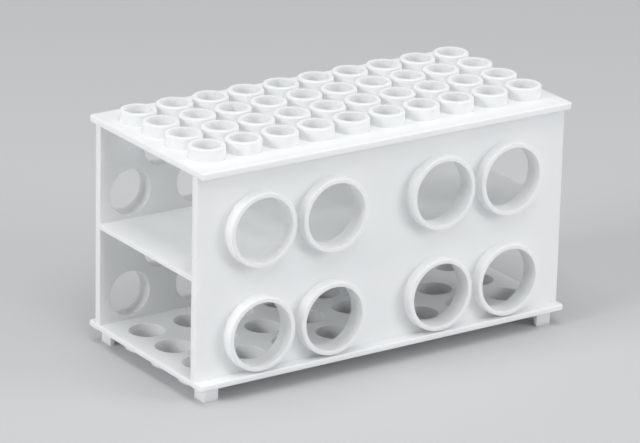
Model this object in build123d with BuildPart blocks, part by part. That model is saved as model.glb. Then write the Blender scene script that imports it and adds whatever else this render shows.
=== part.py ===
"""Tube rack moulded in one piece: a box open at both ends, with a different size of tube hole on each face."""

from build123d import *
import os

os.makedirs("parts", exist_ok=True)

# ---- driving dimensions, mm -------------------------------------------------
# X runs along the rack, Y through it with the front at -Y, Z up from the floor
rack_length = 198.0
plate_depth = 95.2
base_thickness = 2.8
top_thickness = 3.3
shelf_thickness = 2.5
lower_bay_height = 46.0
upper_bay_height = 46.1
front_wall_thickness = 3.8
back_wall_thickness = 3.8
end_setback = 0.4  # ends of walls and shelf, inside the ends of the plates
plate_corner_radius = 1.5
plate_chamfer = 0.4

# top face: microtubes
top_bore = 12.6
top_rim = 2.0
top_collar = 5.7
top_columns = 10
top_rows = 4
top_pitch_x = 18.9
top_pitch_y = 18.9

# front face: 50 mL tubes, in two pairs side by side in each bay
front_bore = 30.0
front_rim = 2.2
front_collar = 5.4
front_pair_pitch = 37.9
front_middle_pitch = 58.0
front_hole_height = 18.0  # hole centre above the floor of its bay

# back face: a zigzag of holes in each bay, in two halves a little further apart in the middle
back_bore = 21.2
back_rim = 1.8
back_collar = 5.4
back_half_columns = 5
back_step = 17.7  # along the rack, from a hole to the next one of the zigzag
back_middle_step = 24.2
back_row_height = 12.6  # centres of the lower row above the floor of its bay
back_row_pitch = 20.0

# base: 15 mL tubes, collars hanging below the plate
base_bore = 16.6
base_rim = 1.8
base_collar = 5.2
base_columns = 8
base_rows = 3
base_pitch_x = 23.8
base_pitch_y = 22.5

collar_chamfer = 0.4  # outer edge at the mouth of every collar

# feet: one angle under each corner
foot_height = 7.3
foot_leg = 7.6
foot_web = 2.4
foot_inset = 4.4

# ---- dependent places -------------------------------------------------------
base_bottom = foot_height
base_top = base_bottom + base_thickness
shelf_bottom = base_top + lower_bay_height
shelf_top = shelf_bottom + shelf_thickness
top_bottom = shelf_top + upper_bay_height
top_face = top_bottom + top_thickness

front_outer = -plate_depth / 2 + front_collar  # collars end flush with the plates' edges
front_inner = front_outer + front_wall_thickness
back_outer = plate_depth / 2 - back_collar
back_inner = back_outer - back_wall_thickness
wall_length = rack_length - 2 * end_setback

top_centres = [
    ((i - (top_columns - 1) / 2) * top_pitch_x, (j - (top_rows - 1) / 2) * top_pitch_y)
    for i in range(top_columns)
    for j in range(top_rows)
]
base_centres = [
    ((i - (base_columns - 1) / 2) * base_pitch_x, (j - (base_rows - 1) / 2) * base_pitch_y)
    for i in range(base_columns)
    for j in range(base_rows)
]
front_centres = [
    (side * x, floor + front_hole_height)
    for side in (-1, 1)
    for x in (front_middle_pitch / 2, front_middle_pitch / 2 + front_pair_pitch)
    for floor in (base_top, shelf_top)
]
# seen from behind; the zigzag reads the same after a half turn
back_centres = [
    (side * (back_middle_step / 2 + n * back_step), row - side * (-1) ** n * back_row_pitch / 2)
    for row in [floor + back_row_height + back_row_pitch / 2 for floor in (base_top, shelf_top)]
    for side in (-1, 1)
    for n in range(back_half_columns)
]

# outer face of each plate or wall, facing out, with its holes
top_out = Plane.XY.offset(top_face)
base_out = Plane(origin=(0, 0, base_bottom), x_dir=(1, 0, 0), z_dir=(0, 0, -1))
front_out = Plane(origin=(0, front_outer, 0), x_dir=(1, 0, 0), z_dir=(0, -1, 0))
back_out = Plane(origin=(0, back_outer, 0), x_dir=(-1, 0, 0), z_dir=(0, 1, 0))
tube_faces = [
    (top_out, top_centres, top_bore, top_rim, top_collar, top_thickness),
    (base_out, base_centres, base_bore, base_rim, base_collar, base_thickness),
    (front_out, front_centres, front_bore, front_rim, front_collar, front_wall_thickness),
    (back_out, back_centres, back_bore, back_rim, back_collar, back_wall_thickness),
]

with BuildPart() as rack:
    # base and top plates
    with BuildSketch(Plane.XY.offset(base_bottom)):
        RectangleRounded(rack_length, plate_depth, plate_corner_radius)
    extrude(amount=base_thickness)
    with BuildSketch(Plane.XY.offset(top_bottom)):
        RectangleRounded(rack_length, plate_depth, plate_corner_radius)
    extrude(amount=top_thickness)
    chamfer(rack.faces().filter_by(Axis.Z).edges(), length=plate_chamfer)

    # front and back walls between them
    with BuildSketch(Plane.XY.offset(base_top)):
        with Locations((0, front_outer)):
            Rectangle(wall_length, front_wall_thickness, align=(Align.CENTER, Align.MIN))
        with Locations((0, back_outer)):
            Rectangle(wall_length, back_wall_thickness, align=(Align.CENTER, Align.MAX))
    extrude(amount=top_bottom - base_top)

    # shelf that parts the two bays
    with BuildSketch(Plane.XY.offset(shelf_bottom)):
        with Locations((0, front_inner)):
            Rectangle(wall_length, back_inner - front_inner, align=(Align.CENTER, Align.MIN))
    extrude(amount=shelf_thickness)

    # corner feet, an angle in plan with its corner outwards
    with BuildSketch(Plane.XY):
        with Locations((foot_inset - rack_length / 2, foot_inset - plate_depth / 2)):
            Rectangle(foot_leg, foot_web, align=(Align.MIN, Align.MIN))
            Rectangle(foot_web, foot_leg, align=(Align.MIN, Align.MIN))
        mirror(about=Plane.YZ)
        mirror(about=Plane.XZ)
    extrude(amount=foot_height)

    # collars standing out of the four faces
    for outside, centres, bore, rim, collar, wall in tube_faces:
        with BuildSketch(outside):
            with Locations(*centres):
                Circle(bore / 2 + rim)
        extrude(amount=collar - collar_chamfer)
        with BuildSketch(outside.offset(collar - collar_chamfer)):
            with Locations(*centres):
                Circle(bore / 2 + rim)
        extrude(amount=collar_chamfer, taper=45)

    # tube holes through collar and wall
    for outside, centres, bore, rim, collar, wall in tube_faces:
        with BuildSketch(outside.offset(collar)):
            with Locations(*centres):
                Circle(bore / 2)
        extrude(amount=-(collar + wall), mode=Mode.SUBTRACT)

rack.part.label = "rack"
export_step(rack.part, "parts/rack.step")
print("rack", round(rack.part.volume), "mm3", rack.part.bounding_box().size)
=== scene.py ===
import math

import bmesh
import bpy
from mathutils import Matrix, Vector


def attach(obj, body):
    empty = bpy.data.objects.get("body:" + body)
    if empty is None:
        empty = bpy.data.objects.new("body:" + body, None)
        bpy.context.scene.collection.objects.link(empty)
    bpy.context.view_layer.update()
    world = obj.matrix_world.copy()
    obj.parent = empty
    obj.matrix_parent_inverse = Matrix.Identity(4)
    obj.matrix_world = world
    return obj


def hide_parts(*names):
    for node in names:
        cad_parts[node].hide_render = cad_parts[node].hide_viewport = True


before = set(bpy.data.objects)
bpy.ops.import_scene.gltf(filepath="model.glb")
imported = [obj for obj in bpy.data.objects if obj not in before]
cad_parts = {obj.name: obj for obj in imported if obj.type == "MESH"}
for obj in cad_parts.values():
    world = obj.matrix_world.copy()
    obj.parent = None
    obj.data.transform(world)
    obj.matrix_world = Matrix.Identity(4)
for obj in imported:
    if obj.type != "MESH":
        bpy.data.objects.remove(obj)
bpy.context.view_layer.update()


# ---- Camera ----------------------------------------------------------------
# A long lens, well back from the bench, looks down on the front face and the open left end,
# tipped a degree to one side.
CAMERA_PLACE = (-0.97694, -1.42347, 0.67341)
CAMERA_AZIMUTH, CAMERA_ELEVATION, CAMERA_ROLL = 34.056, 19.94, 1.235  # degrees
LENS_MM = 227.47


def look(azimuth, elevation, roll):
    """The turn of a camera so far round to the left of the rack and so far above level."""
    return (
        Matrix.Rotation(math.radians(-azimuth), 4, "Z")
        @ Matrix.Rotation(math.radians(90 - elevation), 4, "X")
        @ Matrix.Rotation(math.radians(roll), 4, "Z")
    )


camera_data = bpy.data.cameras.new("camera")
camera_data.lens = LENS_MM
camera_data.shift_x = 0.0266
camera_data.shift_y = 0.0213
camera_data.clip_start = 0.05
camera_data.clip_end = 30
camera = bpy.data.objects.new("camera", camera_data)
bpy.context.collection.objects.link(camera)
turn = look(CAMERA_AZIMUTH, CAMERA_ELEVATION, CAMERA_ROLL)
camera.matrix_world = Matrix.Translation(CAMERA_PLACE) @ turn
bpy.context.scene.camera = camera


# ---- Rack ------------------------------------------------------------------
# The whole rack is one moulding of white polypropylene, satin from the tool's fine spark finish,
# milky where it is thin, and with every edge very slightly rounded.
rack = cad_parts["rack"]
EDGE = 0.00022  # how far each edge is rounded back
EDGE_ANGLE = 24  # degrees, from which two faces meet at an edge
FLAT_ANGLE = 0.5  # degrees, under which two faces are one flat
SAME_CORNER = 0.000002  # corners this near are one
MILKY_DEEP = (0.86, 0.88, 0.885, 1)
MILKY_PALE = (0.895, 0.91, 0.91, 1)
SATIN_SMOOTH, SATIN_DULL = 0.46, 0.62

skin_mesh = bpy.data.meshes.new("rack_skin")
shape = bmesh.new()
shape.from_mesh(rack.data)
bmesh.ops.remove_doubles(shape, verts=shape.verts, dist=SAME_CORNER)
bmesh.ops.dissolve_limit(
    shape,
    angle_limit=math.radians(FLAT_ANGLE),
    verts=shape.verts,
    edges=shape.edges,
    use_dissolve_boundaries=False,
)
shape.to_mesh(skin_mesh)
shape.free()
for face in skin_mesh.polygons:
    face.use_smooth = True
skin = bpy.data.objects.new("rack_skin", skin_mesh)
bpy.context.collection.objects.link(skin)
softened = skin.modifiers.new("soft_edges", "BEVEL")
softened.width = EDGE
softened.segments = 2
softened.limit_method = "ANGLE"
softened.angle_limit = math.radians(EDGE_ANGLE)
evened = skin.modifiers.new("even_shading", "WEIGHTED_NORMAL")
evened.mode = "FACE_AREA"
evened.weight = 100
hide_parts("rack")
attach(skin, "root")

polypropylene = bpy.data.materials.new("white_polypropylene")
polypropylene.use_nodes = True
nodes, links = polypropylene.node_tree.nodes, polypropylene.node_tree.links
shader = nodes["Principled BSDF"]
shader.inputs["IOR"].default_value = 1.49
shader.inputs["Subsurface Weight"].default_value = 0.5
shader.inputs["Subsurface Scale"].default_value = 0.004
shader.inputs["Subsurface Radius"].default_value = (1.0, 0.95, 0.9)
where = nodes.new("ShaderNodeTexCoord")


def unevenness(scale, detail):
    """A noise that is fixed to the rack, finer as its scale goes up."""
    noise = nodes.new("ShaderNodeTexNoise")
    noise.inputs["Scale"].default_value = scale
    noise.inputs["Detail"].default_value = detail
    links.new(where.outputs["Object"], noise.inputs["Vector"])
    return noise.outputs["Fac"]


# milky colour, very slightly uneven where the plastic cooled
tone = nodes.new("ShaderNodeValToRGB")
tone.color_ramp.elements[0].position = 0.3
tone.color_ramp.elements[0].color = MILKY_DEEP
tone.color_ramp.elements[1].position = 0.7
tone.color_ramp.elements[1].color = MILKY_PALE
links.new(unevenness(22, 3), tone.inputs["Fac"])
links.new(tone.outputs["Color"], shader.inputs["Base Color"])

# satin, with faint handling marks
gloss = nodes.new("ShaderNodeMapRange")
gloss.inputs["To Min"].default_value = SATIN_SMOOTH
gloss.inputs["To Max"].default_value = SATIN_DULL
links.new(unevenness(60, 6), gloss.inputs["Value"])
links.new(gloss.outputs["Result"], shader.inputs["Roughness"])

# the tool's fine spark finish
bump = nodes.new("ShaderNodeBump")
bump.inputs["Strength"].default_value = 0.12
bump.inputs["Distance"].default_value = 0.0001
links.new(unevenness(2600, 2), bump.inputs["Height"])
links.new(bump.outputs["Normal"], shader.inputs["Normal"])

skin_mesh.materials.append(polypropylene)
for slot in rack.material_slots:
    slot.material = polypropylene


# ---- Bench -----------------------------------------------------------------
# A plain bench top covered in pale grey paper, far wider than the view. Well away from the rack
# it fades into the pale surround, so that no dark edge shows where the lamps no longer reach.
BENCH_REACH = 8  # from the middle to each side
PAPER_GREY = (0.6, 0.61, 0.62, 1)
FADE_STARTS, FADE_ENDS = 0.9, 2.6  # from the middle of the rack
SURROUND_SHOWN = 0.55  # how bright the surround looks

bench_mesh = bpy.data.meshes.new("bench")
bench_shape = bmesh.new()
bmesh.ops.create_grid(bench_shape, x_segments=1, y_segments=1, size=BENCH_REACH)
bench_shape.to_mesh(bench_mesh)
bench_shape.free()
bench = bpy.data.objects.new("bench", bench_mesh)
bpy.context.collection.objects.link(bench)

paper = bpy.data.materials.new("pale_paper")
paper.use_nodes = True
paper_nodes, paper_links = paper.node_tree.nodes, paper.node_tree.links
paper_shader = paper_nodes["Principled BSDF"]
paper_shader.inputs["Base Color"].default_value = PAPER_GREY
paper_shader.inputs["Roughness"].default_value = 0.8


def rays_that_show(tree):
    """1 for a ray that comes straight from the camera, through glass or off a gloss, else 0."""
    rays = tree.nodes.new("ShaderNodeLightPath")
    shown = rays.outputs["Is Camera Ray"]
    for kind in ("Is Transmission Ray", "Is Glossy Ray"):
        either = tree.nodes.new("ShaderNodeMath")
        either.operation = "MAXIMUM"
        tree.links.new(shown, either.inputs[0])
        tree.links.new(rays.outputs[kind], either.inputs[1])
        shown = either.outputs["Value"]
    return shown


spot = paper_nodes.new("ShaderNodeTexCoord")
reach = paper_nodes.new("ShaderNodeVectorMath")
reach.operation = "LENGTH"
paper_links.new(spot.outputs["Object"], reach.inputs[0])
far = paper_nodes.new("ShaderNodeMapRange")
far.interpolation_type = "SMOOTHSTEP"
far.inputs["From Min"].default_value = FADE_STARTS
far.inputs["From Max"].default_value = FADE_ENDS
paper_links.new(reach.outputs["Value"], far.inputs["Value"])
faded = paper_nodes.new("ShaderNodeMath")
faded.operation = "MULTIPLY"
paper_links.new(far.outputs["Result"], faded.inputs[0])
paper_links.new(rays_that_show(paper.node_tree), faded.inputs[1])
haze = paper_nodes.new("ShaderNodeEmission")
haze.inputs["Strength"].default_value = SURROUND_SHOWN
paper_mix = paper_nodes.new("ShaderNodeMixShader")
paper_links.new(faded.outputs["Value"], paper_mix.inputs["Fac"])
paper_links.new(paper_shader.outputs["BSDF"], paper_mix.inputs[1])
paper_links.new(haze.outputs["Emission"], paper_mix.inputs[2])
paper_links.new(paper_mix.outputs["Shader"], paper_nodes["Material Output"].inputs["Surface"])
bench_mesh.materials.append(paper)


# ---- Light -----------------------------------------------------------------
# Four soft lamps, above, high in front, and low on the left and on the front right, in a plain
# white surround.
RACK_MIDDLE = Vector((0, 0, 0.05))
SURROUND_LIGHT = 0.3  # how much light the surround gives


def softbox(name, place, size, watts):
    """A square lamp that faces the middle of the rack."""
    data = bpy.data.lights.new(name, "AREA")
    data.shape = "SQUARE"
    data.size = size
    data.energy = watts
    lamp = bpy.data.objects.new(name, data)
    bpy.context.collection.objects.link(lamp)
    lamp.location = place
    aim = RACK_MIDDLE - Vector(place)
    lamp.rotation_euler = aim.to_track_quat("-Z", "Y").to_euler()


softbox("overhead", (-0.15, 0, 2.2), 1.4, 14.2)
softbox("high_front", (-0.32, -1.18, 2.0), 0.9, 10)
softbox("left", (-2.07, -0.07, 1.06), 0.8, 21.5)
softbox("right", (1.4, -1.67, 0.8), 1.1, 18)

# the surround lights the rack dimly, and looks as pale as the bench where it is seen
surround = bpy.data.worlds.new("surround")
surround.use_nodes = True
sky, sky_links = surround.node_tree.nodes, surround.node_tree.links
level = sky.new("ShaderNodeMapRange")
level.inputs["To Min"].default_value = SURROUND_LIGHT
level.inputs["To Max"].default_value = SURROUND_SHOWN
sky_links.new(rays_that_show(surround.node_tree), level.inputs["Value"])
sky_links.new(level.outputs["Result"], sky["Background"].inputs["Strength"])
sky["Background"].inputs["Color"].default_value = (1, 1, 1, 1)
bpy.context.scene.world = surround
bpy.context.scene.view_settings.view_transform = "Standard"
